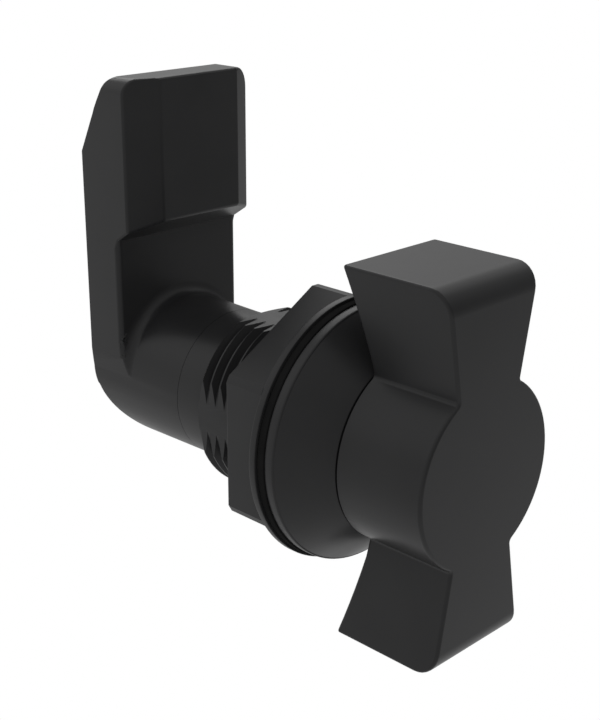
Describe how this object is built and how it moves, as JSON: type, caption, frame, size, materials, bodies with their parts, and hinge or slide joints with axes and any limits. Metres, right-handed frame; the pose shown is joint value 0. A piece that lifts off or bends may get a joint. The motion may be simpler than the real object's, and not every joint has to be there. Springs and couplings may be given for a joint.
{
  "type": "quarter-turn latch",
  "caption": "Plastic quarter-turn latch: a wing knob turns an L-shaped cam through a flanged, threaded barrel that a hex nut clamps in a panel cut-out.",
  "frame": {"origin": "on the latch axis, in the plane of the head flange's rear face, where the gasket seats against the panel side", "axes": "+Y along the latch axis from the knob to the cam, +Z along the cam's arm in the rest pose, +X to the right as seen from the knob"},
  "size_m": [0.031, 0.0547, 0.0584],
  "materials": {
    "housing_plastic": "fine matte black moulded polyamide",
    "nut_plastic": "fine matte black moulded polyamide",
    "knob_plastic": "fine matte black moulded polyamide",
    "cam_plastic": "fine matte black moulded polyamide",
    "gasket_rubber": "dull black rubber",
    "seal_rubber": "smooth black rubber",
    "stop_steel": "stamped, zinc-plated",
    "screw_steel": "zinc-plated",
    "insert_brass": "turned"
  },
  "bodies": {
    "barrel": {"housing": "housing_plastic", "flange_gasket": "gasket_rubber"},
    "nut": {"hex_nut": "nut_plastic"},
    "turning_core": {"knob": "knob_plastic", "spindle_seal": "seal_rubber", "stop_disc": "stop_steel", "threaded_insert": "insert_brass", "cam": "cam_plastic", "lock_washer": "screw_steel", "cam_screw": "screw_steel"}
  },
  "joints": [
    {"name": "knob_turn", "type": "hinge", "parent": "barrel", "child": "turning_core", "pos_m": [0, 0, 0], "axis": [0, 1, 0], "range_deg": [0, 90]},
    {"name": "nut_travel", "type": "slide", "parent": "barrel", "child": "nut", "axis": [0, 1, 0], "range_m": [0, 0.007]}
  ]
}
